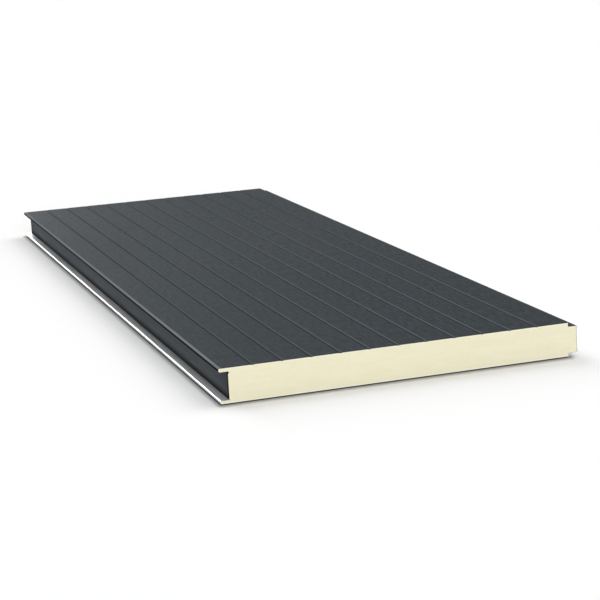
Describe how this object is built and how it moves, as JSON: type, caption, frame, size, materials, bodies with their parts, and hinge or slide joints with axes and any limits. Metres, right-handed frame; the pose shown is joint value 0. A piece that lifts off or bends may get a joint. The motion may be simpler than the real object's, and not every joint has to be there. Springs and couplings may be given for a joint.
{
  "type": "insulated sandwich panel",
  "caption": "Flat insulated building panel: folded steel sheets on a rigid foam core, with fine lengthwise lines, a groove along one edge and a tongue along the other.",
  "frame": {"origin": "middle of the panel's box, on the plane that its inner face lies on", "axes": "+X across the width, from the groove edge to the tongue edge; +Y along the length; +Z through the thickness, from the inner face to the outer face"},
  "size_m": [1.0744, 3, 0.1],
  "materials": {
    "outer_sheet": "matt anthracite grey coil coating",
    "inner_sheet": "semi-gloss silver metallic coil coating",
    "foam": "cut face of pale yellow rigid polyurethane foam",
    "groove_strip": "matt dark grey edge strip",
    "tongue_strip": "matt light grey edge strip"
  },
  "bodies": {
    "root": {"outer_sheet": "outer_sheet", "inner_sheet": "inner_sheet", "foam_core": "foam", "groove_strip": "groove_strip", "tongue_strip": "tongue_strip"}
  },
  "joints": []
}
